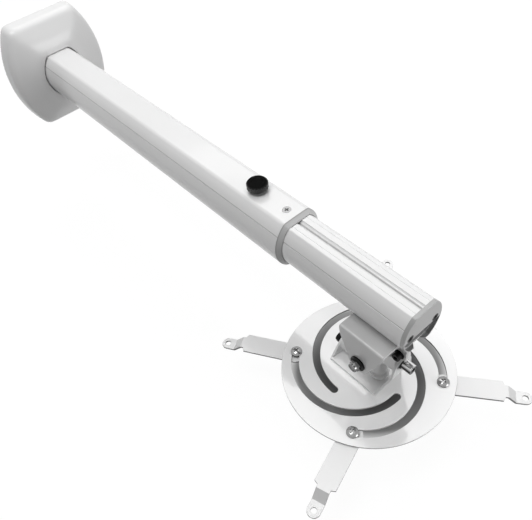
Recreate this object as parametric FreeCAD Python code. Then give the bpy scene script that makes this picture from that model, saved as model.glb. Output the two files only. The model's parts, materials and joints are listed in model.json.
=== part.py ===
import FreeCAD, Part
import math
import os

# Wall-fixed telescopic projector mount, in millimetres.
# +X runs along the arm away from the wall, +Z is up and +Y is away from the viewer.
# The origin is the centre of the wall plate's back face, at the height of the tube axis.

V = FreeCAD.Vector
AX, AY, AZ = V(1, 0, 0), V(0, 1, 0), V(0, 0, 1)
FIT = 0.3            # gap between pieces that are slid or set into each other
RUN = 0.05           # radial clearance of a turning shaft
SLACK = 0.25         # radial clearance of a fixing screw in its hole
CONTACT = 0.02       # flat faces that touch and turn on each other

# Barrel section shared by the two tubes. Every outline is this core moved out by an offset.
CORE_H = 21.5        # half height of the core
CORE_W = 12.3        # half width of the core's flat top and bottom
CORE_R = 29.0        # radius of the bulged sides
INNER_OFF = 2.0      # inner tube's outer face
INNER_WALL = 2.2
OUTER_OFF = 6.5      # outer tube's outer face
OUTER_WALL = 3.0
INNER_TOP = CORE_H + INNER_OFF
OUTER_TOP = CORE_H + OUTER_OFF
SEAM_DROP = 11.0     # side seam line below the flat top
SEAM_R = 0.55
GROOVE_R, GROOVE_D = 3.6, 2.2      # round groove along the inner tube's top, and its depth
GROOVE_RIB = 5.4                   # half width of the thicker wall below the groove
KEY_DROP, KEY_HALF = 0.8, 2.3      # how far the collar's key and the guide screw reach into the groove
LINE_Y, LINE_R = 9.0, 0.35         # fine lines beside the groove

# Wall plate and the foot that carries the outer tube
PLATE_T = 3.0
WALL_PITCH, WALL_HOLE_R = 90.0, 4.25
CABLE_R = 16.0
WINDOW_Y, WINDOW_HALF = (47.5, 57.5), 11.0     # cable windows of the wall plate, on both sides of the foot
FOOT_T, FOOT_L, FOOT_WALL = 6.0, 62.0, 3.0
FOOT_PITCH, FLANGE_OFF = 74.0, 24.0
TUBE_SCREW_X, TUBE_SCREW_L = 17.0, 7.0
HEAD_SEAT = 0.4                                # depth of the flats under the tube screws' heads

# Positions along the arm
REACH = 146.7                      # how far the inner tube stands out of the outer tube
OUTER_L, INNER_L = 498.3, 484.0
OUTER_X0 = PLATE_T + FOOT_T
OUTER_X1 = OUTER_X0 + OUTER_L
INNER_X1 = OUTER_X1 + REACH
INNER_X0 = INNER_X1 - INNER_L
GLIDE_L = 40.0
COLLAR_T, COLLAR_BEVEL, COLLAR_SLEEVE = 4.7, 1.0, 22.0
COLLAR_LIP = (1.5, 0.9)            # offsets of the collar's bevel from the inner tube
COLLAR_TIP = OUTER_X1 + COLLAR_T
GUIDE_X = OUTER_X1 - 12.3
GUIDE_SCREW = (2.4, 4.45, 2.2)     # shank radius, head radius, head height
GUIDE_SLOT = 4.0                   # half width of the slot round the guide screw
KNOB_X = OUTER_X1 - 53.3
KNOB_R, KNOB_H, KNOB_NECK = 10.8, 6.6, 1.9
KNOB_FLUTES, FLUTE_R = 20, 0.95
KNOB_EDGE, KNOB_FOOT_EDGE, NECK_R = 1.2, 0.6, 5.8
DISH_D, STUD_R = 0.8, 2.6
INSERT_R, INSERT_FLANGE, INSERT_RIM = 5.0, 6.6, 1.2
CAP_T, CAP_RIM, CAP_EDGE = 4.0, 1.3, 0.5       # end cap, its rim round the open lower half, its chamfer
CAP_EDGE_Z = -3.6                  # lower edge of the end cap's plate
CAP_SCREW_Y, CAP_SCREW_Z, CAP_SCREW_L = 15.7, -0.4, 11.0
CAP_BOSS_R, CAP_BOSS_L = 4.2, 9.0
CAP_GAP_IN, CAP_GAP_OUT = 4.0, 7.7 # half gap in the rim's foot, at the tube and at the front

# Wall cover
COVER_H, COVER_W, COVER_R = 57.0, 40.1, 109.6
COVER_WALL = 2.5
COVER_STEPS = [(0.0, 13.8), (15.0, 12.2), (18.6, 11.4), (21.2, 9.8), (23.2, 7.4), (24.6, 4.4), (25.2, 2.4)]
COVER_FRONT = 36.0
COVER_CROWN = [(0.10, 0.38), (0.24, 0.74), (0.42, 1.0)]     # inset and rise of the crown's outlines
COVER_GAP = 0.9
RIB_POS, RIB_HALF = 60.0, 12.0     # ribs inside the cover that stand on the wall plate

# Metric sizes: shank radius, head radius, head height
M5, M6, M10 = 2.5, 3.0, 5.0
CAP_M5 = (4.25, 5.0)
CAP_M6 = (5.2, 6.0)
CAP_M6_TALL = (5.2, 10.4)
SOCKET_M5, SOCKET_M6 = 4.0, 5.0
PAN_M5 = (4.4, 2.6)
PAN_M6 = (6.2, 3.9)
HEX_M6_AF, HEX_M6_K = 10.0, 4.0
NUT_M5_AF, NUT_M5 = 8.0, 4.0
NUT_M6, NUT_M10 = 5.0, 6.0
LOCK_NUT_M6, LOCK_NUT_RING = 4.6, 1.8
NUT_M10_AF = 16.0
WASHER_T, THIN_WASHER_T = 1.6, 1.0
WASHER_M5_R, WASHER_M6_R, WASHER_M10_R = 5.2, 6.4, 11.0
TILT_WASHER_R = 8.2
CSK_CAP = (1.6, 3.9, 2.4)          # end cap screws: shank radius, head radius, head height

# Head: all heights are measured up from the top of the turntable disc
DISC_X, DISC_Z = INNER_X1 - 48.0, -122.5
DISC_R, DISC_T = 90.0, 2.5
TUBE_BOTTOM = -DISC_Z - INNER_TOP
SHEET = 3.0
TILT_X, TILT_Z = 15.0, 63.0
TILT_END_R = 12.5
TILT_PLATE = (-10.0, 41.0, 34.0)   # back edge, front edge, half width
KNEE_BACK, KNEE_FRONT = 8.0, 5.0   # height of the flanges' ends before they taper
TILT_LIMIT, ROLL_LIMIT = 8.0, 7.0
ROLL_Z = 15.0
LOCK_B = (37.7, 71.0)              # tilt lock screw: x and height
LOCK_B_FACE = -4.5                 # face under its washer
LOCK_C_Z = 54.5                    # roll lock screw height
LOCK_TAB_X, LOCK_TAB_FOOT, LOCK_TAB_SHOULDER = (28.0, 44.7), 65.7, 8.0    # tab round the tilt lock screw
ROLL_LOCK_L, ROLL_PIVOT_L, TAPPED_L = 17.0, 24.0, 15.0             # two screws' lengths, tapped depth
THREAD_PAST = 2.0                                                  # thread left standing past a nut
LUG_R, LUG_T, LUG_A0, LUG_A1 = 29.0, 6.0, -1.0, 39.0
WEB_Z0, WEB_HALF = 41.5, 7.0
BRACKET_SCREWS_X, BRACKET_SCREWS_Y = (-2.0, 21.0), 8.0
BASE = (-34.0, 28.0, 20.5, 2.5)    # back edge, front edge, half width, sheet
EAR_TOP_R = 8.5
FRONT_EAR_X, FRONT_EAR_Z = 38.2, 40.0
FRONT_EAR_R, FRONT_EAR_TOP = 12.0, 61.0
POST_R, FOOT_R, FOOT_Z0, FOOT_Z1 = 8.0, 10.5, 9.8, 13.3
WEB_ROUND = 4.0
SWIVEL_HEAD, SWIVEL_EDGE = (9.0, 3.0), 0.7
NUT_PLATE_T, NUT_PLATE_HALF, NUT_PLATE_END = 4.0, 12.0, 8.0

# Strip arms: screw radius and angle of the first screw, slot circle, strip sizes
SCREW_R, SCREW_A = 76.5, -148.4
SLOT_W, SLOT_OFF, SLOT_OFF_A = 8.0, 17.1, -157.8
SLOT_TURN = 147.0
STRIP_W, STRIP_T = 22.3, 2.5
STRIP_BACK, STRIP_SHOULDER, STRIP_HOLE, STRIP_END = 10.0, 60.0, 80.8, 12.0
SHOULDER_IN, SHOULDER_OUT = 2.0, 3.0           # the shoulder's slope, and the start of the step
TAB_W, TAB_DROP, TAB_RUN = 13.6, 9.0, 9.0
TIP_HOLE_R = 3.0
STRIP_DIRS = [-148.7, -72.1, 37.8, 124.5]
ARM_NAMES = ["left", "front", "right", "back"]

parts = {}


def cyl(r, length, base, axis):
    return Part.makeCylinder(r, length, base, axis)


def box(x0, x1, y0, y1, z0, z1):
    return Part.makeBox(x1 - x0, y1 - y0, z1 - z0, V(x0, y0, z0))


def at_disc(x, y, z):
    """Point given from the centre of the turntable's top face."""
    return V(DISC_X + x, y, DISC_Z + z)


def disc_box(x0, x1, y0, y1, z0, z1):
    return box(DISC_X + x0, DISC_X + x1, y0, y1, DISC_Z + z0, DISC_Z + z1)


def prism(points, direction):
    """Straight-sided outline swept along a vector."""
    return Part.Face(Part.makePolygon(points + [points[0]])).extrude(direction)


def hexagon(af, length, base, axis, turn=0.0):
    """Six-sided bar across flats af, starting at base and running along axis."""
    side = AZ if abs(axis.z) < 0.5 else AX
    other = axis.cross(side)
    r = af / 2 / math.cos(math.radians(30))
    ring = []
    for k in range(6):
        a = math.radians(60 * k + turn)
        ring.append(base + side * (r * math.cos(a)) + other * (r * math.sin(a)))
    return prism(ring, axis * length)


def chamfered_hexagon(af, length, base, axis, turn=0.0):
    """Hexagon with its outer corners turned off, as on a bolt head or nut."""
    bar = hexagon(af, length, base, axis, turn)
    r = af / 2 / math.cos(math.radians(30))
    tip = r - af / 2
    cone = Part.makeCone(r, r - tip * 1.3, length * 0.22, base + axis * (length * 0.78), axis)
    sleeve = cyl(r + 0.01, length * 0.78, base, axis)
    return bar.common(sleeve.fuse(cone))


def washer(r_hole, r_out, t, base, axis):
    return cyl(r_out, t, base, axis).cut(cyl(r_hole, t, base, axis))


def cross_recess(depth, size, top, axis):
    """Cross-shaped driver recess cut down from the top of a head."""
    side = AZ if abs(axis.z) < 0.5 else AX
    other = axis.cross(side)
    blade = size * 0.24
    cuts = []
    for a, b in ((side, other), (other, side)):
        ring = [top + a * size / 2 + b * blade / 2, top - a * size / 2 + b * blade / 2,
                top - a * size / 2 - b * blade / 2, top + a * size / 2 - b * blade / 2]
        cuts.append(prism(ring, axis * -depth))
    return cuts[0].fuse(cuts[1])


def domed_head(r, h, base, axis):
    """Low head with a flat underside, a short rim and a rounded top."""
    rim = h * 0.35
    big = (r * r + (h - rim) ** 2) / (2 * (h - rim))
    ball = Part.makeSphere(big, base + axis * (h - big))
    return cyl(r, h, base, axis).common(ball.fuse(cyl(r, rim, base, axis)))


def cap_screw(shank_r, head, length, face, axis, recess_af):
    """Cylinder-head screw with a hexagon socket. Face is the point under its head and axis points out."""
    head_r, head_h = head
    body = cyl(head_r, head_h, face, axis).fuse(cyl(shank_r, length, face, axis * -1))
    body = body.removeSplitter()
    return body.cut(hexagon(recess_af, head_h * 0.5, face + axis * (head_h * 0.5), axis))


def pan_screw(shank_r, head, length, face, axis):
    head_r, head_h = head
    body = domed_head(head_r, head_h, face, axis).fuse(cyl(shank_r, length, face, axis * -1))
    return body.cut(cross_recess(head_h * 0.55, head_r * 0.95, face + axis * head_h, axis))


def hex_bolt(shank_r, af, k, length, face, axis, turn=0.0):
    return chamfered_hexagon(af, k, face, axis, turn).fuse(cyl(shank_r, length, face, axis * -1))


def nut(bore_r, af, h, base, axis, turn=0.0):
    return chamfered_hexagon(af, h, base, axis, turn).cut(cyl(bore_r, h, base, axis))


def lock_nut(bore_r, af, h, ring_h, base, axis, turn=0.0):
    """Nut with a round locking ring on its outer end."""
    body = chamfered_hexagon(af, h, base, axis, turn).fuse(cyl(af * 0.46, h + ring_h, base, axis))
    return body.cut(cyl(bore_r, h + ring_h, base, axis))


def flush_screw(sizes, length, face, axis):
    """Countersunk screw with its head level with face."""
    shank_r, head_r, head_h = sizes
    head = Part.makeCone(shank_r - RUN, head_r, head_h, face - axis * head_h, axis)
    body = head.fuse(cyl(shank_r - RUN, length, face - axis * length, axis))
    return body.cut(cross_recess(head_h * 0.5, head_r * 1.1, face, axis))


# Barrel outlines

def barrel_wire(x, off, half_h=CORE_H, half_w=CORE_W, side_r=CORE_R):
    """Closed outline in the plane X = x: flat top and bottom, bulged sides, corners of radius off."""
    cy = half_w - math.sqrt(side_r ** 2 - half_h ** 2)
    r = side_r + off
    if off > 0:
        top_w, end_y, end_z = half_w, half_w + off * (half_w - cy) / side_r, half_h + off * half_h / side_r
    else:
        end_z = half_h + off
        end_y = cy + math.sqrt(r ** 2 - end_z ** 2)
        top_w = end_y
    edges = []
    lean = math.atan2(half_h, half_w - cy)
    mid = (lean + math.pi / 2) / 2
    for sy, sz in ((1, 1), (-1, -1)):
        edges.append(Part.makeLine(V(x, -sy * top_w, sz * (half_h + off)), V(x, sy * top_w, sz * (half_h + off))))
        if off > 0:
            edges.append(Part.Arc(V(x, sy * half_w, sz * (half_h + off)),
                                  V(x, sy * (half_w + off * math.cos(mid)), sz * (half_h + off * math.sin(mid))),
                                  V(x, sy * end_y, sz * end_z)).toShape())
        edges.append(Part.Arc(V(x, sy * end_y, sz * end_z), V(x, sy * (cy + r), 0),
                              V(x, sy * end_y, -sz * end_z)).toShape())
        if off > 0:
            edges.append(Part.Arc(V(x, sy * end_y, -sz * end_z),
                                  V(x, sy * (half_w + off * math.cos(mid)), -sz * (half_h + off * math.sin(mid))),
                                  V(x, sy * half_w, -sz * (half_h + off))).toShape())
    return Part.Wire(Part.sortEdges(edges)[0])


def barrel_bar(x0, x1, off):
    return Part.Face(barrel_wire(x0, off)).extrude(AX * (x1 - x0))


def barrel_tube(x0, x1, off, wall):
    return barrel_bar(x0, x1, off).cut(barrel_bar(x0, x1, off - wall))


def side_y(z, off):
    """Half width of the barrel at height z."""
    cy = CORE_W - math.sqrt(CORE_R ** 2 - CORE_H ** 2)
    return cy + math.sqrt((CORE_R + off) ** 2 - z ** 2)


def seam_cuts(x0, x1, off):
    """Thin round grooves along both sides, just below the top."""
    z = CORE_H + off - SEAM_DROP
    y = side_y(z, off)
    return [cyl(SEAM_R, x1 - x0, V(x0, s * (y + SEAM_R * 0.2), z), AX) for s in (-1, 1)]


# Wall end

def cover_wire(x, off):
    return barrel_wire(x, off, COVER_H, COVER_W, COVER_R)


def make_wall_plate():
    """Plate inside the cover, with the cable hole, two cable windows and the screw holes."""
    plate = Part.Face(cover_wire(0, COVER_STEPS[0][1] - COVER_WALL - 2 * FIT)).extrude(AX * PLATE_T)
    plate = plate.cut(cyl(CABLE_R, PLATE_T, V(0, 0, 0), AX))
    near, far = WINDOW_Y
    for y0, y1 in ((-far, -near), (near, far)):
        plate = plate.cut(box(0, PLATE_T, y0, y1, -WINDOW_HALF, WINDOW_HALF))
    for sy in (-1, 1):
        for sz in (-1, 1):
            plate = plate.cut(cyl(WALL_HOLE_R, PLATE_T, V(0, sy * WALL_PITCH / 2, sz * WALL_PITCH / 2), AX))
    for y, z in foot_points():
        plate = plate.cut(cyl(M6 + RUN, PLATE_T, V(0, y, z), AX))
    return plate


def foot_points():
    half = FOOT_PITCH / 2
    return [(half, 0), (-half, 0), (0, half), (0, -half)]


def make_foot():
    """Flange with a hollow stub that carries the outer tube."""
    x0, x1 = PLATE_T, PLATE_T + FOOT_T
    flange = Part.Face(barrel_wire(x0, FLANGE_OFF)).extrude(AX * FOOT_T)
    off = OUTER_OFF - OUTER_WALL - FIT / 2
    foot = flange.fuse(barrel_bar(x1, x1 + FOOT_L, off))
    foot = foot.cut(barrel_bar(x0 + FOOT_T / 2, x1 + FOOT_L, off - FOOT_WALL))
    foot = foot.cut(cyl(CABLE_R, FOOT_T, V(x0, 0, 0), AX))
    for y, z in foot_points():
        foot = foot.cut(cyl(M6 + SLACK, FOOT_T, V(x0, y, z), AX))
    for s in (-1, 1):
        foot = foot.cut(cyl(M5, OUTER_TOP, V(TUBE_SCREW_X, 0, 0), AY * s))
    return foot


def make_foot_bolt(y, z):
    return hex_bolt(M6, HEX_M6_AF, HEX_M6_K, FOOT_T + PLATE_T - FIT, V(PLATE_T + FOOT_T, y, z), AX, 30)


def make_tube_screw(side):
    """Screw through the outer tube's side into the foot's stub, with its head on a flat of the wall."""
    face = V(TUBE_SCREW_X, side * (side_y(0, OUTER_OFF) - HEAD_SEAT), 0)
    return pan_screw(M5, PAN_M5, TUBE_SCREW_L, face, AY * side)


def cover_solid(shrink, x_shift):
    """Stack of outlines from the wall to the rim, then a soft crown to the front."""
    wires = [cover_wire(max(x - x_shift, 0), off - shrink) for x, off in COVER_STEPS]
    body = Part.makeLoft(wires, True, True)
    rim_x, rim_off = COVER_STEPS[-1][0] - x_shift, COVER_STEPS[-1][1] - shrink
    crown = [cover_wire(rim_x, rim_off)]
    for share, height in COVER_CROWN:
        crown.append(scaled_cover_wire(rim_x + (COVER_FRONT - COVER_STEPS[-1][0]) * height, rim_off, 1 - share))
    return body.fuse(Part.makeLoft(crown, True, True)).removeSplitter()


def scaled_cover_wire(x, off, factor):
    wire = cover_wire(0, off)
    m = FreeCAD.Matrix()
    m.scale(1, factor, factor)
    wire = wire.transformGeometry(m)
    wire.translate(V(x, 0, 0))
    return wire


def make_wall_cover():
    shell = cover_solid(0, 0).cut(cover_solid(COVER_WALL, COVER_WALL))
    shell = shell.cut(barrel_bar(OUTER_X0, COVER_FRONT + COVER_WALL, OUTER_OFF + COVER_GAP))
    inside = cover_solid(COVER_WALL / 2, COVER_WALL / 2)
    for s in (-1, 1):
        for rib in (box(PLATE_T, COVER_FRONT, s * RIB_POS - 1, s * RIB_POS + 1, -RIB_HALF, RIB_HALF),
                    box(PLATE_T, COVER_FRONT, -RIB_HALF, RIB_HALF, s * RIB_POS - 1, s * RIB_POS + 1)):
            shell = shell.fuse(rib.common(inside))
    return shell.removeSplitter()


# Telescopic arm

def make_outer_tube():
    tube = barrel_tube(OUTER_X0, OUTER_X1, OUTER_OFF, OUTER_WALL)
    for cut in seam_cuts(OUTER_X0, OUTER_X1, OUTER_OFF):
        tube = tube.cut(cut)
    floor_z = OUTER_TOP - OUTER_WALL - 1
    tube = tube.cut(cyl(INSERT_R + 2 * RUN, OUTER_WALL + 2, V(KNOB_X, 0, floor_z), AZ))
    shank_r, head_r, head_h = GUIDE_SCREW
    tube = tube.cut(Part.makeCone(shank_r, head_r + 2 * RUN, head_h + 2 * RUN,
                                  V(GUIDE_X, 0, OUTER_TOP - head_h - 2 * RUN), AZ))
    tube = tube.cut(cyl(shank_r + 2 * RUN, OUTER_WALL + 2, V(GUIDE_X, 0, floor_z), AZ))
    for s in (-1, 1):
        y = side_y(0, OUTER_OFF)
        tube = tube.cut(cyl(M5 + SLACK, OUTER_TOP, V(TUBE_SCREW_X, 0, 0), AY * s))
        tube = tube.cut(cyl(PAN_M5[0] + 2 * FIT, OUTER_WALL, V(TUBE_SCREW_X, s * (y - HEAD_SEAT), 0), AY * s))
    return tube


def make_knob_insert():
    """Threaded bush in the top wall that the knob's stud runs in."""
    z0 = OUTER_TOP - OUTER_WALL
    bush = cyl(INSERT_R, OUTER_WALL, V(KNOB_X, 0, z0), AZ)
    bush = bush.fuse(cyl(INSERT_FLANGE, INSERT_RIM, V(KNOB_X, 0, OUTER_TOP), AZ))
    return bush.cut(cyl(STUD_R + RUN, OUTER_WALL + INSERT_RIM, V(KNOB_X, 0, z0), AZ))


def make_lock_knob():
    """Fluted clamping knob on a stud that reaches down to just above the inner tube."""
    z0 = OUTER_TOP + INSERT_RIM + FIT
    head_z = z0 + KNOB_NECK
    head = cyl(KNOB_R, KNOB_H, V(KNOB_X, 0, head_z), AZ)
    top = [e for e in head.Edges if e.BoundBox.ZMin > head_z + KNOB_H - 0.01]
    foot = [e for e in head.Edges if e.BoundBox.ZMax < head_z + 0.01]
    head = head.makeChamfer(KNOB_EDGE, top).makeChamfer(KNOB_FOOT_EDGE, foot)
    for k in range(KNOB_FLUTES):
        a = 2 * math.pi * k / KNOB_FLUTES
        r = KNOB_R + FLUTE_R * 0.4
        head = head.cut(cyl(FLUTE_R, KNOB_H + 2, V(KNOB_X + r * math.cos(a), r * math.sin(a), head_z - 1), AZ))
    neck = Part.makeCone(NECK_R, KNOB_R * 0.7, KNOB_NECK, V(KNOB_X, 0, z0), AZ)
    stud_z0 = INNER_TOP + FIT
    stud = cyl(STUD_R, head_z - stud_z0, V(KNOB_X, 0, stud_z0), AZ)
    dish = Part.makeCone(KNOB_R * 0.5, KNOB_R * 0.62, DISH_D, V(KNOB_X, 0, head_z + KNOB_H - DISH_D), AZ)
    return head.fuse([neck, stud]).cut(dish)


def make_guide_screw():
    """Countersunk screw whose plain tip keys into the inner tube's groove."""
    shank_r, head_r, head_h = GUIDE_SCREW
    head = Part.makeCone(shank_r, head_r, head_h, V(GUIDE_X, 0, OUTER_TOP - head_h), AZ)
    tip_z = INNER_TOP - KEY_DROP
    shank = cyl(shank_r, OUTER_TOP - head_h - tip_z, V(GUIDE_X, 0, tip_z), AZ)
    return head.fuse(shank).cut(cross_recess(head_h * 0.6, head_r, V(GUIDE_X, 0, OUTER_TOP), AZ))


def make_end_collar():
    """Bevelled ring on the outer tube's mouth, with a sleeve between the tubes and a key in the groove."""
    wide, narrow = COLLAR_LIP
    ring = Part.makeLoft([barrel_wire(OUTER_X1, OUTER_OFF), barrel_wire(COLLAR_TIP - COLLAR_BEVEL, INNER_OFF + wide),
                          barrel_wire(COLLAR_TIP, INNER_OFF + narrow)], True, True)
    x0 = OUTER_X1 - COLLAR_SLEEVE
    sleeve = barrel_bar(x0, OUTER_X1, OUTER_OFF - OUTER_WALL)
    ring = ring.fuse(sleeve).cut(barrel_bar(x0, COLLAR_TIP, INNER_OFF + FIT))
    ring = ring.cut(box(x0, GUIDE_X + GUIDE_SLOT, -GUIDE_SLOT, GUIDE_SLOT, INNER_TOP, OUTER_TOP))
    key_top = INNER_TOP + (FIT + narrow) / 2
    return ring.fuse(box(OUTER_X1, COLLAR_TIP - FIT, -KEY_HALF, KEY_HALF, INNER_TOP - KEY_DROP, key_top))


def groove_cut(x0, x1):
    """Round-bottomed groove along the top of the inner tube."""
    return cyl(GROOVE_R, x1 - x0, V(x0, 0, INNER_TOP + GROOVE_R - GROOVE_D), AX)


def make_inner_tube():
    x0, x1 = INNER_X0, INNER_X1
    tube = barrel_tube(x0, x1, INNER_OFF, INNER_WALL)
    rib_z = INNER_TOP - GROOVE_D - INNER_WALL
    tube = tube.fuse(box(x0, x1, -GROOVE_RIB, GROOVE_RIB, rib_z, INNER_TOP - INNER_WALL / 2))
    tube = tube.removeSplitter().cut(groove_cut(x0, x1))
    for cut in seam_cuts(x0, x1, INNER_OFF):
        tube = tube.cut(cut)
    for s in (-1, 1):
        tube = tube.cut(cyl(LINE_R, x1 - x0, V(x0, s * LINE_Y, INNER_TOP + LINE_R * 0.1), AX))
    for x in BRACKET_SCREWS_X:
        for s in (-1, 1):
            tube = tube.cut(cyl(M5 + SLACK, INNER_WALL, V(DISC_X + x, s * BRACKET_SCREWS_Y, -INNER_TOP), AZ))
    return tube


def make_rear_glide():
    """Sleeve at the back of the inner tube that runs in the outer tube."""
    off = OUTER_OFF - OUTER_WALL - FIT / 2
    ring = barrel_bar(INNER_X0, INNER_X0 + GLIDE_L, off).cut(barrel_bar(INNER_X0, INNER_X0 + GLIDE_L, INNER_OFF))
    for cut in seam_cuts(INNER_X0, INNER_X0 + GLIDE_L, INNER_OFF):
        ring = ring.cut(cut)
    return ring


def make_end_cap():
    """End plate over the tube's upper half, with a thin rim round the open lower half and two bosses inside."""
    x0, x1 = INNER_X1, INNER_X1 + CAP_T
    cap = barrel_bar(x0, x1, INNER_OFF)
    cap = cap.makeChamfer(CAP_EDGE, [e for e in cap.Edges if e.BoundBox.XMin > x1 - 0.01])
    opening = barrel_bar(x0, x1 + 1, INNER_OFF - CAP_RIM)
    opening = opening.common(box(x0, x1 + 1, -OUTER_TOP, OUTER_TOP, -OUTER_TOP, CAP_EDGE_Z))
    gap = prism([V(x0, -CAP_GAP_IN, -OUTER_TOP), V(x0, CAP_GAP_IN, -OUTER_TOP),
                 V(x1, CAP_GAP_OUT, -OUTER_TOP), V(x1, -CAP_GAP_OUT, -OUTER_TOP)], AZ * (OUTER_TOP - CORE_H + 1))
    cap = cap.cut(opening).cut(gap)
    shank_r, head_r, head_h = CSK_CAP
    back = x0 - CAP_BOSS_L
    for s in (-1, 1):
        y = s * CAP_SCREW_Y
        boss = cyl(CAP_BOSS_R, CAP_BOSS_L, V(back, y, CAP_SCREW_Z), AX)
        cap = cap.fuse(boss.common(barrel_bar(back, x0, INNER_OFF - INNER_WALL - FIT)))
        cap = cap.cut(cyl(shank_r, CAP_BOSS_L + CAP_T, V(back, y, CAP_SCREW_Z), AX))
        cap = cap.cut(Part.makeCone(shank_r, head_r + RUN, head_h, V(x1 - head_h, y, CAP_SCREW_Z), AX))
    return cap


def make_cap_screw(side):
    return flush_screw(CSK_CAP, CAP_SCREW_L, V(INNER_X1 + CAP_T, side * CAP_SCREW_Y, CAP_SCREW_Z), AX)


# Tilting head

def make_tilt_bracket():
    """Folded bracket under the tube: top plate, two tapering flanges and a slotted lock tab."""
    x0, x1, half = TILT_PLATE
    top = TUBE_BOTTOM
    plate = disc_box(x0, x1, -half, half, top - SHEET, top)
    flange = Part.Face(flange_wire(-half, top - SHEET)).extrude(AY * SHEET)
    other = Part.Face(flange_wire(half - SHEET, top - SHEET)).extrude(AY * SHEET)
    tab = Part.Face(lock_tab_wire()).extrude(AY * SHEET)
    bracket = plate.fuse([flange, other, tab])
    bracket = bracket.cut(cyl(M6 + RUN, 2 * half + 2, at_disc(TILT_X, -half - 1, TILT_Z), AY))
    bracket = bracket.cut(cyl(M5 + SLACK, SHEET + 2, at_disc(LOCK_B[0], LOCK_B_FACE - 1, LOCK_B[1]), AY))
    for x in BRACKET_SCREWS_X:
        for s in (-1, 1):
            bracket = bracket.cut(cyl(M5 + SLACK, SHEET + 2, at_disc(x, s * BRACKET_SCREWS_Y, top - SHEET - 1), AZ))
    bracket = bracket.removeSplitter()
    corners = [e for e in bracket.Edges
               if abs(e.BoundBox.ZMin - (DISC_Z + top)) < 0.01 and abs(e.BoundBox.YLength) < 0.01
               and abs(abs(e.BoundBox.YMin) - half) < 0.01 and e.BoundBox.XLength > 30]
    return bracket.makeFillet(SHEET * 0.8, corners)


def flange_wire(y, top):
    """Tapering outline with a rounded end about the tilt axis."""
    x0, x1, half = TILT_PLATE
    r = TILT_END_R
    a, b = at_disc(x0, y, top), at_disc(x1, y, top)
    right = at_disc(TILT_X + r, y, TILT_Z)
    left = at_disc(TILT_X - r, y, TILT_Z)
    knee_l, knee_r = at_disc(x0 + 1, y, top - KNEE_BACK), at_disc(x1 - 1, y, top - KNEE_FRONT)
    arc = Part.Arc(right, at_disc(TILT_X, y, TILT_Z - r), left).toShape()
    lines = [Part.makeLine(a, b), Part.makeLine(b, knee_r), Part.makeLine(knee_r, right), arc,
             Part.makeLine(left, knee_l), Part.makeLine(knee_l, a)]
    return Part.Wire(lines)


def lock_tab_wire():
    """Tab that hangs from the top plate beside the lock screw."""
    x1 = TILT_PLATE[1]
    near, far = LOCK_TAB_X
    y, foot, top, drop = LOCK_B_FACE, LOCK_TAB_FOOT, TUBE_BOTTOM - SHEET, LOCK_TAB_SHOULDER
    points = [at_disc(near, y, top), at_disc(near, y, foot), at_disc(far, y, foot),
              at_disc(far, y, LOCK_B[1] + drop), at_disc(x1, y, top - drop / 2), at_disc(x1, y, top)]
    return Part.makePolygon(points + [points[0]])


def arc_slot(centre, ex, ey, r, half_w, a0, a1, depth):
    """Round-ended slot along an arc in the plane of ex and ey."""
    def point(rad, deg):
        t = math.radians(deg)
        return centre + ex * (rad * math.cos(t)) + ey * (rad * math.sin(t))
    mid = (a0 + a1) / 2
    end = math.degrees(half_w / r)
    outer = Part.Arc(point(r + half_w, a0), point(r + half_w, mid), point(r + half_w, a1)).toShape()
    cap1 = Part.Arc(point(r + half_w, a1), point(r, a1 + end), point(r - half_w, a1)).toShape()
    inner = Part.Arc(point(r - half_w, a1), point(r - half_w, mid), point(r - half_w, a0)).toShape()
    cap0 = Part.Arc(point(r - half_w, a0), point(r, a0 - end), point(r + half_w, a0)).toShape()
    return Part.Face(Part.Wire([outer, cap1, inner, cap0])).extrude(depth)


def make_knuckle():
    """Cast block that joins the tilt barrel, the roll boss and the lug with the tilt lock slot."""
    half = TILT_PLATE[2] - SHEET - CONTACT
    front = FRONT_EAR_X - CONTACT
    back = BASE[0] + BASE[3] + CONTACT
    barrel = cyl(TILT_END_R - 1.5, 2 * half, at_disc(TILT_X, -half, TILT_Z), AY)
    post = cyl(POST_R, TILT_Z - FOOT_Z0, at_disc(TILT_X, 0, FOOT_Z0), AZ)
    foot = cyl(FOOT_R, FOOT_Z1 - FOOT_Z0, at_disc(TILT_X, 0, FOOT_Z0), AZ)
    boss = cyl(EAR_TOP_R, TILT_X - back, at_disc(back, 0, ROLL_Z), AX)
    web = disc_box(TILT_X - WEB_HALF, front, -WEB_HALF, WEB_HALF, WEB_Z0, LOCK_C_Z + WEB_HALF)
    web = web.makeFillet(WEB_ROUND, [e for e in web.Edges if abs(e.BoundBox.XMin - (DISC_X + front)) < 0.01])
    lug_y = LOCK_B_FACE + SHEET + CONTACT
    lug = Part.Face(lug_wire(lug_y)).extrude(AY * LUG_T)
    body = barrel.fuse([post, foot, boss, web, lug])
    body = body.cut(cyl(M6 + RUN, 2 * half + 2, at_disc(TILT_X, -half - 1, TILT_Z), AY))
    body = body.cut(cyl(M6 + RUN, TILT_X - back + 4, at_disc(back - 1, 0, ROLL_Z), AX))
    body = body.cut(cyl(M6 + RUN, TAPPED_L, at_disc(front - TAPPED_L, 0, LOCK_C_Z), AX))
    lock_r = math.hypot(LOCK_B[0] - TILT_X, LOCK_B[1] - TILT_Z)
    lock_a = math.degrees(math.atan2(LOCK_B[1] - TILT_Z, LOCK_B[0] - TILT_X))
    turn = TILT_LIMIT + 1
    body = body.cut(arc_slot(at_disc(TILT_X, lug_y - 1, TILT_Z), AX, AZ, lock_r, M5 + SLACK,
                             lock_a - turn, lock_a + turn, AY * (LUG_T + 2)))
    return body.removeSplitter()


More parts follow.
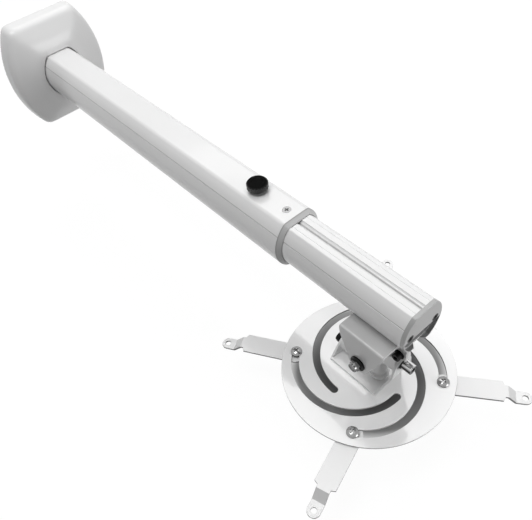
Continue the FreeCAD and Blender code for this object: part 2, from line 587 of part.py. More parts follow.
def lug_wire(y):
    """Sector about the tilt axis that carries the tilt lock slot."""
    def point(deg):
        a = math.radians(deg)
        return at_disc(TILT_X + LUG_R * math.cos(a), y, TILT_Z + LUG_R * math.sin(a))
    centre = at_disc(TILT_X, y, TILT_Z)
    arc = Part.Arc(point(LUG_A0), point((LUG_A0 + LUG_A1) / 2), point(LUG_A1)).toShape()
    return Part.Wire([Part.makeLine(centre, point(LUG_A0)), arc, Part.makeLine(point(LUG_A1), centre)])


def make_roll_bracket():
    """Folded base on the turntable: a pointed back ear and a tall front ear that leans out to the roll lock."""
    x0, x1, half, t = BASE
    base = disc_box(x0, x1, -half, half, 0, t)
    back = Part.Face(ear_wire(x0, half, ROLL_Z, EAR_TOP_R)).extrude(AX * t)
    lean = prism([at_disc(x1 - t, -half, 0), at_disc(x1, -half, 0), at_disc(FRONT_EAR_X + t, -half, FRONT_EAR_Z),
                  at_disc(FRONT_EAR_X, -half, FRONT_EAR_Z)], AY * 2 * half)
    upright = disc_box(FRONT_EAR_X, FRONT_EAR_X + t, -half, half, FRONT_EAR_Z - 0.01, FRONT_EAR_TOP)
    mask = Part.Face(ear_wire(x1 - 5, half, FRONT_EAR_TOP - FRONT_EAR_R, FRONT_EAR_R)).extrude(AX * 30)
    front = lean.fuse(upright).common(mask)
    body = base.fuse([back, front])
    body = body.cut(cyl(M6 + RUN, t + 2, at_disc(x0 - 1, 0, ROLL_Z), AX))
    body = body.cut(cyl(M10 + RUN, t + 2, at_disc(0, 0, -1), AZ))
    r = LOCK_C_Z - ROLL_Z
    slot_half = ROLL_LIMIT + 0.6
    body = body.cut(arc_slot(at_disc(FRONT_EAR_X - 1, 0, ROLL_Z), AY, AZ, r, M6 + SLACK,
                             90 - slot_half, 90 + slot_half, AX * (t + 2)))
    return body.removeSplitter()


def ear_wire(x, half, top_z, r):
    """Ear outline in the plane X = x: wide foot, straight slanted sides, round top."""
    a = math.acos(r / math.hypot(half, top_z)) - math.atan2(top_z, half)
    y, z = r * math.cos(a), top_z + r * math.sin(a)
    points = [at_disc(x, -half, 0), at_disc(x, half, 0), at_disc(x, y, z), at_disc(x, -y, z)]
    arc = Part.Arc(points[2], at_disc(x, 0, top_z + r), points[3]).toShape()
    return Part.Wire([Part.makeLine(points[0], points[1]), Part.makeLine(points[1], points[2]), arc,
                      Part.makeLine(points[3], points[0])])


def make_tilt_hardware():
    half = TILT_PLATE[2]
    near = at_disc(TILT_X, -half, TILT_Z)
    far = at_disc(TILT_X, half, TILT_Z)
    for name, face, out in (("near", near, AY * -1), ("far", far, AY)):
        parts["tilt_washer_" + name] = washer(M6 + SLACK, TILT_WASHER_R, WASHER_T, face, out)
    length = 2 * half + 2 * WASHER_T + LOCK_NUT_M6 + LOCK_NUT_RING - FIT
    parts["tilt_bolt"] = hex_bolt(M6, HEX_M6_AF, HEX_M6_K, length, far + AY * WASHER_T, AY, 14)
    parts["tilt_nut"] = lock_nut(M6, HEX_M6_AF, LOCK_NUT_M6, LOCK_NUT_RING, near + AY * -WASHER_T, AY * -1, 0)
    face = at_disc(LOCK_B[0], LOCK_B_FACE, LOCK_B[1])
    parts["tilt_lock_washer"] = washer(M5 + SLACK, WASHER_M5_R, THIN_WASHER_T, face, AY * -1)
    clamp = SHEET + LUG_T + CONTACT
    parts["tilt_lock_screw"] = cap_screw(M5, CAP_M5, clamp + NUT_M5 + THREAD_PAST, face - AY * THIN_WASHER_T,
                                         AY * -1, SOCKET_M5)
    parts["tilt_lock_nut"] = nut(M5, NUT_M5_AF, NUT_M5, face + AY * (clamp + CONTACT), AY)


def make_roll_hardware():
    back = at_disc(BASE[0], 0, ROLL_Z)
    parts["roll_washer"] = washer(M6 + SLACK, WASHER_M6_R, THIN_WASHER_T, back, AX * -1)
    parts["roll_pivot_screw"] = cap_screw(M6, CAP_M6, ROLL_PIVOT_L, back - AX * THIN_WASHER_T, AX * -1, SOCKET_M6)
    front = at_disc(FRONT_EAR_X + BASE[3], 0, LOCK_C_Z)
    parts["roll_lock_washer"] = washer(M6 + SLACK, WASHER_M6_R, THIN_WASHER_T, front, AX)
    parts["roll_lock_screw"] = cap_screw(M6, CAP_M6_TALL, ROLL_LOCK_L, front + AX * THIN_WASHER_T, AX, SOCKET_M6)


def make_swivel_hardware():
    top = at_disc(0, 0, BASE[3])
    head_r, head_h = SWIVEL_HEAD
    head = cyl(head_r, head_h, top, AZ)
    rims = [e for e in head.Edges if e.BoundBox.ZMin > top.z + head_h - 0.1]
    head = head.makeChamfer(SWIVEL_EDGE, rims)
    length = BASE[3] + DISC_T + WASHER_T + NUT_M10 + THREAD_PAST
    parts["swivel_bolt"] = head.fuse(cyl(M10, length, top, AZ * -1))
    under = at_disc(0, 0, -DISC_T)
    parts["swivel_washer"] = washer(M10 + SLACK, WASHER_M10_R, WASHER_T, under, AZ * -1)
    parts["swivel_nut"] = nut(M10, NUT_M10_AF, NUT_M10, under + AZ * -WASHER_T, AZ * -1)


def make_bracket_screw(x, side):
    """Screw up through the tilt bracket into the tube floor."""
    face = at_disc(x, side * BRACKET_SCREWS_Y, TUBE_BOTTOM - SHEET)
    return pan_screw(M5, PAN_M5, SHEET + INNER_WALL + NUT_PLATE_T, face, AZ * -1)


def make_nut_plate():
    """Tapped strip inside the tube that the bracket screws run into."""
    z = TUBE_BOTTOM + INNER_WALL
    x0, x1 = BRACKET_SCREWS_X[0] - NUT_PLATE_END, BRACKET_SCREWS_X[1] + NUT_PLATE_END
    plate = disc_box(x0, x1, -NUT_PLATE_HALF, NUT_PLATE_HALF, z, z + NUT_PLATE_T)
    for x in BRACKET_SCREWS_X:
        for s in (-1, 1):
            plate = plate.cut(cyl(M5 + RUN, NUT_PLATE_T, at_disc(x, s * BRACKET_SCREWS_Y, z), AZ))
    return plate


# Turntable and strip arms

def slot_centre(k):
    a = math.radians(SLOT_OFF_A + 90 * k)
    return at_disc(SLOT_OFF * math.cos(a), SLOT_OFF * math.sin(a), 0)


def screw_point(k, z):
    a = math.radians(SCREW_A + 90 * k)
    return at_disc(SCREW_R * math.cos(a), SCREW_R * math.sin(a), z)


def make_turntable():
    disc = cyl(DISC_R, DISC_T, at_disc(0, 0, -DISC_T), AZ)
    disc = disc.cut(cyl(M10 + RUN, DISC_T, at_disc(0, 0, -DISC_T), AZ))
    for k in range(4):
        centre = slot_centre(k)
        s = screw_point(k, 0) - centre
        a0 = math.degrees(math.atan2(s.y, s.x))
        centre.z -= DISC_T + 1
        disc = disc.cut(arc_slot(centre, AX, AY, s.Length, SLOT_W / 2, a0, a0 + SLOT_TURN, AZ * (DISC_T + 2)))
    return disc


def make_strip(k):
    """Flat strip with a round inner end, shoulders and a narrow tab that steps down to its pad."""
    t, w, tab = STRIP_T, STRIP_W / 2, TAB_W / 2
    top = -DISC_T - FIT
    flat = Part.Face(strip_wire(w, tab)).extrude(AZ * -t)
    x0, x1 = STRIP_SHOULDER + SHOULDER_OUT, STRIP_HOLE + STRIP_END
    low = -TAB_DROP - t
    side = [V(x0, -tab, 0), V(x0 + TAB_RUN, -tab, -TAB_DROP), V(x1, -tab, -TAB_DROP), V(x1, -tab, low),
            V(x0 + TAB_RUN - 1, -tab, low), V(x0 - 1, -tab, -t)]
    step = prism(side, AY * 2 * tab)
    pad_end = cyl(tab, -low, V(STRIP_HOLE, 0, low), AZ).fuse(box(0, STRIP_HOLE, -tab, tab, low, 0))
    strip = flat.fuse(step.common(pad_end))
    strip = strip.cut(cyl(M6 + RUN, t, V(0, 0, -t), AZ))
    strip = strip.cut(cyl(TIP_HOLE_R, t, V(STRIP_HOLE, 0, low), AZ))
    strip = strip.removeSplitter()
    strip.rotate(V(0, 0, 0), AZ, STRIP_DIRS[k])
    strip.translate(screw_point(k, top))
    return strip


def strip_wire(w, tab):
    """Plan outline of the flat part, from the round inner end to the start of the tab."""
    back, x1, x2 = STRIP_BACK, STRIP_SHOULDER - SHOULDER_IN, STRIP_SHOULDER + SHOULDER_OUT
    c = w - back
    end = Part.Arc(V(c, w, 0), V(-back, 0, 0), V(c, -w, 0)).toShape()
    neck = x1 + SHOULDER_IN
    points = [V(c, -w, 0), V(x1, -w, 0), V(neck, -tab, 0), V(x2, -tab, 0), V(x2, tab, 0), V(neck, tab, 0),
              V(x1, w, 0), V(c, w, 0)]
    lines = [Part.makeLine(points[i], points[i + 1]) for i in range(len(points) - 1)]
    return Part.Wire([end] + lines)


def make_strip_hardware(k):
    name = ARM_NAMES[k]
    length = DISC_T + FIT + STRIP_T + WASHER_T + NUT_M6 + THREAD_PAST
    parts["strip_screw_" + name] = pan_screw(M6, PAN_M6, length, screw_point(k, 0), AZ)
    low = screw_point(k, -DISC_T - FIT - STRIP_T)
    parts["strip_washer_" + name] = washer(M6 + SLACK, WASHER_M6_R, WASHER_T, low, AZ * -1)
    parts["strip_nut_" + name] = nut(M6, HEX_M6_AF, NUT_M6, low + AZ * -WASHER_T, AZ * -1, STRIP_DIRS[k])


def build():
    parts["wall_plate"] = make_wall_plate()
    parts["tube_foot"] = make_foot()
    for number, (y, z) in enumerate(foot_points()):
        parts["foot_bolt_%d" % (number + 1)] = make_foot_bolt(y, z)
    parts["tube_screw_near"] = make_tube_screw(-1)
    parts["tube_screw_far"] = make_tube_screw(1)
    parts["wall_cover"] = make_wall_cover()
    parts["outer_tube"] = make_outer_tube()
    parts["end_collar"] = make_end_collar()
    parts["knob_insert"] = make_knob_insert()
    parts["lock_knob"] = make_lock_knob()
    parts["guide_screw"] = make_guide_screw()
    parts["inner_tube"] = make_inner_tube()
    parts["rear_glide"] = make_rear_glide()
    parts["end_cap"] = make_end_cap()
    parts["cap_screw_near"] = make_cap_screw(-1)
    parts["cap_screw_far"] = make_cap_screw(1)
    parts["nut_plate"] = make_nut_plate()
    for number, (x, s) in enumerate([(x, s) for x in BRACKET_SCREWS_X for s in (-1, 1)]):
        parts["bracket_screw_%d" % (number + 1)] = make_bracket_screw(x, s)
    parts["tilt_bracket"] = make_tilt_bracket()
    parts["knuckle"] = make_knuckle()
    make_tilt_hardware()
    parts["roll_bracket"] = make_roll_bracket()
    make_roll_hardware()
    make_swivel_hardware()
    parts["turntable"] = make_turntable()
    for k in range(4):
        parts["strip_" + ARM_NAMES[k]] = make_strip(k)
        make_strip_hardware(k)


build()
os.makedirs("parts", exist_ok=True)
for name, shape in parts.items():
    if not shape.isValid() or len(shape.Solids) != 1:
        print("check", name, shape.isValid(), len(shape.Solids))
    if shape.ShapeType != "Solid" and len(shape.Solids) == 1:
        shape = shape.Solids[0]
    shape.exportStep("parts/%s.step" % name)
print(len(parts), "parts")
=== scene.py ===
import json
import math

import bpy
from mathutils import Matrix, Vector


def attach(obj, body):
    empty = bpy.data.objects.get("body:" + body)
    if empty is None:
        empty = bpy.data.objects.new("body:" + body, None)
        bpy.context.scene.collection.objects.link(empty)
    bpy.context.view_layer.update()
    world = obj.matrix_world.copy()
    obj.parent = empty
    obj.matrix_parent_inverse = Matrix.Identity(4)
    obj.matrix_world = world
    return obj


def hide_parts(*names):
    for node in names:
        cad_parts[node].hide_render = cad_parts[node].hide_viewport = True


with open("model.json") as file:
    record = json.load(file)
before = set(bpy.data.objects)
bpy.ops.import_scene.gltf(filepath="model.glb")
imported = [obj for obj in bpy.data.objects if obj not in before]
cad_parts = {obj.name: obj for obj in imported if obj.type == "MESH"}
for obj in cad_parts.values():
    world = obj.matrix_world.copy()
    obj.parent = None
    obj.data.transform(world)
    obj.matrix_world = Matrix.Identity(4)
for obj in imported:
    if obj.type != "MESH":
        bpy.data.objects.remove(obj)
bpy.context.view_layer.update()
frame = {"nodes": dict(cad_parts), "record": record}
nodes = frame["nodes"]

# Lengths are in metres, in the same frame as the CAD part.

# Tubes
OUTER_TOP = 0.0280          # flat top of the outer tube, above the middle of the tubes
INNER_TOP = 0.0235          # flat top of the inner tube
SIDE_R = 0.0355             # radius of the outer tube's bulged sides
SIDE_BACK = 0.00716         # how far the centre of that radius lies past the tube's middle
COLLAR_X = 0.5073           # joint of the outer tube and its collar

# Painted shade lines in the tubes' seams and groove, and a dark joint line at the collar: where they are,
# and what they leave of the tone
SIDE_SEAM = 0.0110          # seam on both sides of a tube, below its flat top
SEAM_HALF, SEAM_SHADE = 0.0009, 0.50
GROOVE_HALF = 0.0020        # half width of the painted shade in the groove's bottom, along the inner tube's top
GROOVE_DEPTH, GROOVE_SHADE = 0.0022, 0.30
COLLAR_HALF, COLLAR_SHADE = 0.0014, 0.60

# Wall cover
VOXEL = 0.0010              # size of the even mesh
PASSES, PASS_FACTOR = 240, 0.5                  # smoothing of its front
CROWN_X, CROWN_BLEND = 0.014, 0.008             # where the rounding starts, and the length it grows over
RIM_KEEP, RIM_BLEND = 0.001, 0.005              # band round the tube's opening that is left as it is

# Edges of the CAD solids
WELD = 0.00001              # points closer than this are one point
FLAT_ANGLE = 0.5            # degrees between facets that are joined into one
SHARP_ANGLE = 32            # degrees above which an edge is rounded
EDGE = 0.0005               # rounding of folded and cast edges
FINE_EDGE = 0.0002          # rounding of screws, washers and the knob
EDGE_STEPS = 2              # facets across a rounded edge
NORMAL_WEIGHT = 60          # share of the large faces in the shading of the rounded edges

# Floor, with the round plate's shade, which is seen through the plate's slots
FLOOR_Z, FLOOR_SIZE, FLOOR_ROUGH = -0.185, 30, 0.9
SHADE_AT = (0.5829, 0.0305)                     # middle of the shade at rest
SHADE_CORE = (0.04, 0.095)                      # radii between which the floor's tone rises
SHADE_TONES = (0.09, 0.42)                      # its tones inside and outside them
SHADE_EDGE = (0.082, 0.1)                       # radii between which the white glow rises
GLOW, GLOW_SHARE = 1.17, 0.8                    # strength of the glow, and its share outside them

# Light
FILL_SIDE = (-0.7, 0.7, 0)  # side that the soft fill is strongest on
FILL = (0.09, 0.36)         # its weakest and strongest level
LAMPS = [                   # name, place, aimed at, width, depth, watts
    ("ceiling", (-0.40, 0.80, 1.53), (-0.40, 0.80, 0), 2.2, 1.2, 18),
    ("overhead", (0.30, -0.50, 1.80), (0.40, 0, 0), 1.0, 1.0, 17),
    ("front", (2.00, 0.50, 0.30), (0.20, 0, 0), 0.8, 0.8, 9),
]

# Camera, fitted to the photograph
CAMERA_AT = (0.79242, -0.24642, 0.38179)
CAMERA_TURN = (37.784, 5.783, 49.086)           # degrees
LENS, SENSOR = 37.323, 36                       # millimetres
LENS_SHIFT = (0.01574, 0.08415)
CLIP_START = 0.01

# Finishes: height of the fine grain, and scale and detail of the noise that each one varies with
PEEL_HEIGHT, SCRATCH_HEIGHT, GRAIN_HEIGHT = 0.00004, 0.00003, 0.00005
COAT_TONE, COAT_ROUGH, COAT_PEEL = (9, 3), (35, 2), (900, 2)
METAL_STREAKS = (400, 3)
BLACK_TONE, BLACK_ROUGH, BLACK_DETAIL = (60, 3), (140, 2), 2
UPRIGHT_TO_FLAT = (0.2, 0.9)                    # how far faces turn up or down to count as upright or flat


# Small helpers for node trees

def new_material(name):
    material = bpy.data.materials.new(name)
    material.use_nodes = True
    tree = material.node_tree
    return material, tree, tree.nodes["Principled BSDF"]


def noise(tree, pattern, vector):
    """Noise with a pattern's scale and detail."""
    node = tree.nodes.new("ShaderNodeTexNoise")
    node.inputs["Scale"].default_value, node.inputs["Detail"].default_value = pattern
    tree.links.new(vector, node.inputs["Vector"])
    return node.outputs["Fac"]


def object_coords(tree, stretch=(1, 1, 1)):
    """Coordinates in metres, stretched along an axis for brushed or drawn finishes."""
    coords = tree.nodes.new("ShaderNodeTexCoord")
    mapping = tree.nodes.new("ShaderNodeMapping")
    mapping.inputs["Scale"].default_value = stretch
    tree.links.new(coords.outputs["Object"], mapping.inputs["Vector"])
    return mapping.outputs["Vector"]


def map_range(tree, value, source, target, smooth=False):
    """Maps a value from the source range onto the target range, and holds it at the ends."""
    node = tree.nodes.new("ShaderNodeMapRange")
    node.interpolation_type = "SMOOTHSTEP" if smooth else "LINEAR"
    node.inputs["From Min"].default_value = source[0]
    node.inputs["From Max"].default_value = source[1]
    node.inputs["To Min"].default_value = target[0]
    node.inputs["To Max"].default_value = target[1]
    tree.links.new(value, node.inputs["Value"])
    return node.outputs["Result"]


def grey(value):
    return (value, value, value, 1)


def mix_grey(tree, fac, tones):
    """Grey colour, from the first tone where the factor is 0 to the second where it is 1."""
    node = tree.nodes.new("ShaderNodeMix")
    node.data_type = "RGBA"
    node.inputs["A"].default_value = grey(tones[0])
    node.inputs["B"].default_value = grey(tones[1])
    tree.links.new(fac, node.inputs["Factor"])
    return node.outputs["Result"]


def multiply(tree, a, b):
    node = tree.nodes.new("ShaderNodeVectorMath")
    node.operation = "MULTIPLY"
    tree.links.new(a, node.inputs[0])
    tree.links.new(b, node.inputs[1])
    return node.outputs["Vector"]


def math_node(tree, operation, value, other=None):
    node = tree.nodes.new("ShaderNodeMath")
    node.operation = operation
    tree.links.new(value, node.inputs[0])
    if isinstance(other, float):
        node.inputs[1].default_value = other
    elif other is not None:
        tree.links.new(other, node.inputs[1])
    return node.outputs["Value"]


def add_bump(tree, shader, height, strength, distance):
    node = tree.nodes.new("ShaderNodeBump")
    node.inputs["Strength"].default_value = strength
    node.inputs["Distance"].default_value = distance
    tree.links.new(height, node.inputs["Height"])
    tree.links.new(node.outputs["Normal"], shader.inputs["Normal"])


def facing_up(tree):
    """1 on faces that look straight up, 0 on upright ones and -1 on those that look down."""
    geometry = tree.nodes.new("ShaderNodeNewGeometry")
    axes = tree.nodes.new("ShaderNodeSeparateXYZ")
    tree.links.new(geometry.outputs["Normal"], axes.inputs["Vector"])
    return axes.outputs["Z"]


def flat_faces(tree, upright, flat):
    """One value on upright faces, such as cut edges, and another on those that lie flat."""
    turned = math_node(tree, "ABSOLUTE", facing_up(tree))
    return map_range(tree, turned, UPRIGHT_TO_FLAT, (upright, flat))


def line_mask(tree, where, bands):
    """1 where every band is centred, fading to 0 at its half width. A band is (axis, middle, half width)."""
    axes = tree.nodes.new("ShaderNodeSeparateXYZ")
    tree.links.new(where, axes.inputs["Vector"])
    mask = None
    for axis, middle, half in bands:
        offset = math_node(tree, "SUBTRACT", axes.outputs[axis], middle)
        band = map_range(tree, math_node(tree, "ABSOLUTE", offset), (0, half), (1, 0), smooth=True)
        mask = band if mask is None else math_node(tree, "MULTIPLY", mask, band)
    return mask


# Materials. Tones and roughness are (low, high) ranges that a noise wanders in.

def coated(name, tones, rough, coat, peel, coat_rough=0.08, lines=(), edge_shade=None):
    """Smooth coating with a fine orange-peel surface, a painted shade line along each seam and groove, a
    dark line at each joint and, with an edge shade value, painted shade on upright faces such as cut edges.
    """
    material, tree, shader = new_material(name)
    where = object_coords(tree)
    colour = mix_grey(tree, noise(tree, COAT_TONE, where), tones)
    # Painted shade along seams and grooves, and dark joint marks, multiply the tone
    for shade, bands in lines:
        colour = multiply(tree, colour, mix_grey(tree, line_mask(tree, where, bands), (1, shade)))
    # Painted shade: upright faces, such as cut edges, are darker
    if edge_shade is not None:
        colour = multiply(tree, colour, flat_faces(tree, edge_shade, 1.0))
    tree.links.new(colour, shader.inputs["Base Color"])
    roughness = map_range(tree, noise(tree, COAT_ROUGH, where), (0, 1), rough)
    tree.links.new(roughness, shader.inputs["Roughness"])
    shader.inputs["Coat Weight"].default_value = coat
    shader.inputs["Coat Roughness"].default_value = coat_rough
    add_bump(tree, shader, noise(tree, COAT_PEEL, where), peel, PEEL_HEIGHT)
    return material


def metal(name, tones, under, rough, stretch, scratch, span=(-0.7, 0.8)):
    """Plated or turned metal with fine streaks along one direction. Painted shade: its colour is darker on
    faces that look down.
    """
    material, tree, shader = new_material(name)
    streaks = noise(tree, METAL_STREAKS, object_coords(tree, stretch))
    # Painted shade: the colour falls to the under tone on faces that look down
    shade = map_range(tree, facing_up(tree), span, (under, 1.0))
    tree.links.new(multiply(tree, mix_grey(tree, streaks, tones), shade), shader.inputs["Base Color"])
    tree.links.new(map_range(tree, streaks, (0, 1), rough), shader.inputs["Roughness"])
    shader.inputs["Metallic"].default_value = 1.0
    add_bump(tree, shader, streaks, scratch, SCRATCH_HEIGHT)
    return material


def black_finish(name, tones, rough, grain, scale, gloss=0.2, rim_gloss=None):
    """Dark plastic or blackened steel with a fine grain; its upright faces can have a gloss of their own."""
    material, tree, shader = new_material(name)
    where = object_coords(tree)
    shader.inputs["Specular IOR Level"].default_value = gloss
    if rim_gloss is not None:
        tree.links.new(flat_faces(tree, rim_gloss, gloss), shader.inputs["Specular IOR Level"])
    tree.links.new(mix_grey(tree, noise(tree, BLACK_TONE, where), tones), shader.inputs["Base Color"])
    roughness = map_range(tree, noise(tree, BLACK_ROUGH, where), (0, 1), rough)
    tree.links.new(roughness, shader.inputs["Roughness"])
    add_bump(tree, shader, noise(tree, (scale, BLACK_DETAIL), where), grain, GRAIN_HEIGHT)
    return material


def seam(top):
    """Painted shade line in the seam along both sides of a tube."""
    return SEAM_SHADE, [("Z", top - SIDE_SEAM, SEAM_HALF)]


# Painted shade along the bottom of the inner tube's top groove
TOP_GROOVE_SHADE = (GROOVE_SHADE, [("Y", 0.0, GROOVE_HALF), ("Z", INNER_TOP - GROOVE_DEPTH, GROOVE_DEPTH)])
COLLAR_JOINT = (COLLAR_SHADE, [("X", COLLAR_X, COLLAR_HALF)])
PAINT = {"rough": (0.26, 0.34), "coat": 0.3, "peel": 0.15}
WHITE_PAINT = {**PAINT, "tones": (0.77, 0.80)}
PLASTIC = {"rough": (0.30, 0.38), "coat": 0.2, "peel": 0.1}
COATINGS = {
    "white_paint": WHITE_PAINT,
    "outer_paint": {**WHITE_PAINT, "lines": [seam(OUTER_TOP)]},
    "inner_paint": {**WHITE_PAINT, "lines": [seam(INNER_TOP), TOP_GROOVE_SHADE]},
    # Painted shade: a darker copy of the white paint for the tilt bracket under the tube
    "bracket_paint": {**PAINT, "tones": (0.55, 0.58)},
    # Painted light: lighter copies of the white paint for the roll bracket, the strips and the round plate
    "head_paint": {**PAINT, "tones": (0.86, 0.88)},
    "strip_paint": {**PAINT, "tones": (0.84, 0.86), "edge_shade": 0.15},
    "disc_paint": {"tones": (0.86, 0.88), "rough": (0.10, 0.14), "coat": 1.0, "coat_rough": 0.02,
                   "peel": 0.02, "edge_shade": 0.30},
    "white_plastic": {**PLASTIC, "tones": (0.77, 0.80)},
    # Painted shade: a darker copy of the white plastic for the end cap's front
    "cap_plastic": {**PLASTIC, "tones": (0.37, 0.40)},
    "collar_plastic": {"tones": (0.49, 0.52), "rough": (0.40, 0.48), "coat": 0.0, "peel": 0.1,
                       "lines": [COLLAR_JOINT]},
}
TURNED = {"stretch": (1, 1, 6), "scratch": 0.15}
POLISHED = {"stretch": (6, 1, 1), "scratch": 0.05}
# The under tone and the facing range set each metal's painted shade on downward faces; chrome gets a painted
# highlight on top and painted shade below
METALS = {
    "zinc": {**TURNED, "tones": (0.24, 0.38), "under": 0.15, "rough": (0.12, 0.26)},
    "dull_zinc": {**TURNED, "tones": (0.18, 0.28), "under": 0.15, "rough": (0.22, 0.32)},
    "chrome": {**POLISHED, "tones": (0.70, 0.80), "under": 0.02, "rough": (0.08, 0.14), "span": (0.3, 0.9)},
    "dark_chrome": {**POLISHED, "tones": (0.26, 0.32), "under": 0.03, "rough": (0.10, 0.16)},
}
BLACKS = {
    "black_steel": {"tones": (0.004, 0.008), "rough": (0.30, 0.42), "grain": 0.2, "scale": 700,
                    "gloss": 0.08},
    "knob_plastic": {"tones": (0.001, 0.003), "rough": (0.16, 0.24), "grain": 0.3, "scale": 1600,
                     "gloss": 0.01, "rim_gloss": 0.5},
    "glide_plastic": {"tones": (0.07, 0.09), "rough": (0.45, 0.55), "grain": 0.2, "scale": 900},
}
MATERIALS = {
    name: make(name, **look)
    for make, looks in ((coated, COATINGS), (metal, METALS), (black_finish, BLACKS))
    for name, look in looks.items()
}
# Nodes whose look differs from that of their slot
REPAINT = {
    "outer_tube": "outer_paint",
    "inner_tube": "inner_paint",
    "tilt_bracket": "bracket_paint",
    "roll_bracket": "head_paint",
    "turntable": "disc_paint",
    "strip_left": "strip_paint",
    "strip_front": "strip_paint",
    "strip_right": "strip_paint",
    "strip_back": "strip_paint",
    "end_cap": "cap_plastic",
    "guide_screw": "dull_zinc",
    "roll_lock_screw": "chrome",
    "tilt_nut": "dark_chrome",
}
SLOTS = {entry["node"]: entry["material_slot"] for entry in frame["record"]["subparts"]}
FINE_SLOTS = ("zinc", "black_steel", "knob_plastic")


def dress(obj, material_name):
    obj.data.materials.clear()
    obj.data.materials.append(MATERIALS[material_name])


def shade_smooth(mesh):
    for polygon in mesh.polygons:
        polygon.use_smooth = True


def soften(obj, width):
    """Joins the flat facets, rounds the sharp edges slightly and shades each flat face evenly."""
    weld = obj.modifiers.new("weld", "WELD")
    weld.merge_threshold = WELD
    flat = obj.modifiers.new("flat", "DECIMATE")
    flat.decimate_type = "DISSOLVE"
    flat.angle_limit = math.radians(FLAT_ANGLE)
    bevel = obj.modifiers.new("edge", "BEVEL")
    bevel.width = width
    bevel.segments = EDGE_STEPS
    bevel.limit_method = "ANGLE"
    bevel.angle_limit = math.radians(SHARP_ANGLE)
    normals = obj.modifiers.new("normals", "WEIGHTED_NORMAL")
    normals.mode = "FACE_AREA"
    normals.weight = NORMAL_WEIGHT
    shade_smooth(obj.data)


def dress_nodes():
    for name, obj in nodes.items():
        dress(obj, REPAINT.get(name, SLOTS[name]))
        soften(obj, FINE_EDGE if SLOTS[name] in FINE_SLOTS else EDGE)


# Wall cover: the moulded shell with its soft pillow shape

def rising(value, start, length):
    return min(max((value - start) / length, 0.0), 1.0)


def gap_to_tube(y, z):
    """Distance outside the outer tube's outline, in the plane of the wall."""
    bulge = math.sqrt(max(SIDE_R ** 2 - z ** 2, 0.0)) - SIDE_BACK
    return max(abs(z) - OUTER_TOP, abs(y) - bulge)


def bake(obj):
    """Applies the object's modifiers to its mesh."""
    graph = bpy.context.evaluated_depsgraph_get()
    mesh = bpy.data.meshes.new_from_object(obj.evaluated_get(graph))
    obj.modifiers.clear()
    obj.data = mesh


def make_cover_shell():
    """Even, fine mesh of the cover whose front is rounded from edge to edge, up to the tube's opening."""
    shell = bpy.data.objects.new("cover_shell", nodes["wall_cover"].data.copy())
    bpy.context.scene.collection.objects.link(shell)
    remesh = shell.modifiers.new("even", "REMESH")
    remesh.mode = "VOXEL"
    remesh.voxel_size = VOXEL
    bake(shell)
    group = shell.vertex_groups.new(name="front")
    for vertex in shell.data.vertices:
        x, y, z = vertex.co
        weight = rising(x, CROWN_X, CROWN_BLEND) * rising(gap_to_tube(y, z), RIM_KEEP, RIM_BLEND)
        group.add([vertex.index], weight, "REPLACE")
    smooth = shell.modifiers.new("round", "SMOOTH")
    smooth.factor = PASS_FACTOR
    smooth.iterations = PASSES
    smooth.vertex_group = "front"
    bake(shell)
    shade_smooth(shell.data)
    dress(shell, SLOTS["wall_cover"])
    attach(shell, "base")
    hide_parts("wall_cover")


# Stage, light and camera

def seen_white(tree):
    """1 for rays that show the surroundings themselves: seen, mirrored or looked at through a surface."""
    path = tree.nodes.new("ShaderNodeLightPath")
    either = math_node(tree, "MAXIMUM", path.outputs["Is Camera Ray"], path.outputs["Is Glossy Ray"])
    return math_node(tree, "MAXIMUM", either, path.outputs["Is Transmission Ray"])


def shade_distance(tree):
    """Distance from the middle of the shade, which goes where a joint takes the round plate."""
    coords = tree.nodes.new("ShaderNodeTexCoord")
    coords.object = nodes["turntable"]
    level = tree.nodes.new("ShaderNodeVectorMath")
    level.operation = "MULTIPLY"
    level.inputs[1].default_value = (1, 1, 0)
    tree.links.new(coords.outputs["Object"], level.inputs[0])
    distance = tree.nodes.new("ShaderNodeVectorMath")
    distance.operation = "DISTANCE"
    distance.inputs[1].default_value = (*SHADE_AT, 0)
    tree.links.new(level.outputs["Vector"], distance.inputs[0])
    return distance.outputs["Value"]


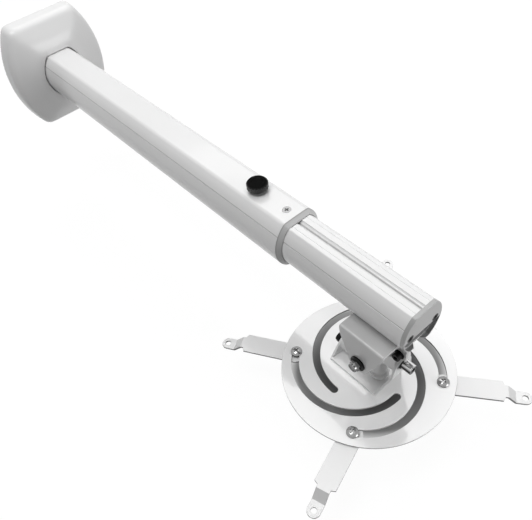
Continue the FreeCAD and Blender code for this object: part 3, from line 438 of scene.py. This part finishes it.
def make_floor():
    """Pale floor: white to the camera and in reflections, but shaded under the round plate."""
    bpy.ops.mesh.primitive_plane_add(size=FLOOR_SIZE, location=(*SHADE_AT, FLOOR_Z))
    floor = bpy.context.object
    floor.name = "floor"
    material, tree, shader = new_material("floor")
    distance = shade_distance(tree)
    tone = map_range(tree, distance, SHADE_CORE, (0, 1), smooth=True)
    tree.links.new(mix_grey(tree, tone, SHADE_TONES), shader.inputs["Base Color"])
    shader.inputs["Roughness"].default_value = FLOOR_ROUGH
    shader.inputs["Specular IOR Level"].default_value = 0.0
    glow = tree.nodes.new("ShaderNodeEmission")
    glow.inputs["Color"].default_value = grey(1)
    glow.inputs["Strength"].default_value = GLOW
    outside = map_range(tree, distance, SHADE_EDGE, (0, GLOW_SHARE))
    mix = tree.nodes.new("ShaderNodeMixShader")
    tree.links.new(math_node(tree, "MULTIPLY", seen_white(tree), outside), mix.inputs["Fac"])
    tree.links.new(shader.outputs["BSDF"], mix.inputs[1])
    tree.links.new(glow.outputs["Emission"], mix.inputs[2])
    tree.links.new(mix.outputs["Shader"], tree.nodes["Material Output"].inputs["Surface"])
    floor.data.materials.append(material)


def make_world():
    """Soft fill for the surfaces, weaker from the front, and white where it is seen or mirrored."""
    world = bpy.data.worlds.new("studio")
    bpy.context.scene.world = world
    world.use_nodes = True
    tree = world.node_tree
    back = tree.nodes["Background"]
    coords = tree.nodes.new("ShaderNodeTexCoord")
    side = tree.nodes.new("ShaderNodeVectorMath")
    side.operation = "DOT_PRODUCT"
    side.inputs[1].default_value = FILL_SIDE
    tree.links.new(coords.outputs["Generated"], side.inputs[0])
    strength = tree.nodes.new("ShaderNodeMix")
    strength.inputs["B"].default_value = 1.0
    tree.links.new(seen_white(tree), strength.inputs["Factor"])
    tree.links.new(map_range(tree, side.outputs["Value"], (-1, 1), FILL), strength.inputs["A"])
    tree.links.new(strength.outputs["Result"], back.inputs["Strength"])
    back.inputs["Color"].default_value = grey(1)


def area_light(name, location, target, width, depth, power):
    data = bpy.data.lights.new(name, "AREA")
    data.shape = "RECTANGLE"
    data.size = width
    data.size_y = depth
    data.energy = power
    lamp = bpy.data.objects.new(name, data)
    bpy.context.scene.collection.objects.link(lamp)
    lamp.location = location
    lamp.rotation_euler = (Vector(target) - Vector(location)).to_track_quat("-Z", "Y").to_euler()


def make_lights():
    """A wide lamp above and behind, where the glossy plate mirrors it, one overhead and one in front."""
    for lamp in LAMPS:
        area_light(*lamp)


def make_camera():
    data = bpy.data.cameras.new("camera")
    data.sensor_width = SENSOR
    data.lens = LENS
    data.shift_x, data.shift_y = LENS_SHIFT
    data.clip_start = CLIP_START
    camera = bpy.data.objects.new("camera", data)
    bpy.context.scene.collection.objects.link(camera)
    camera.location = CAMERA_AT
    camera.rotation_euler = [math.radians(angle) for angle in CAMERA_TURN]
    bpy.context.scene.camera = camera


dress_nodes()
make_cover_shell()
make_floor()
make_world()
make_lights()
make_camera()
bpy.context.scene.view_settings.view_transform = "Standard"
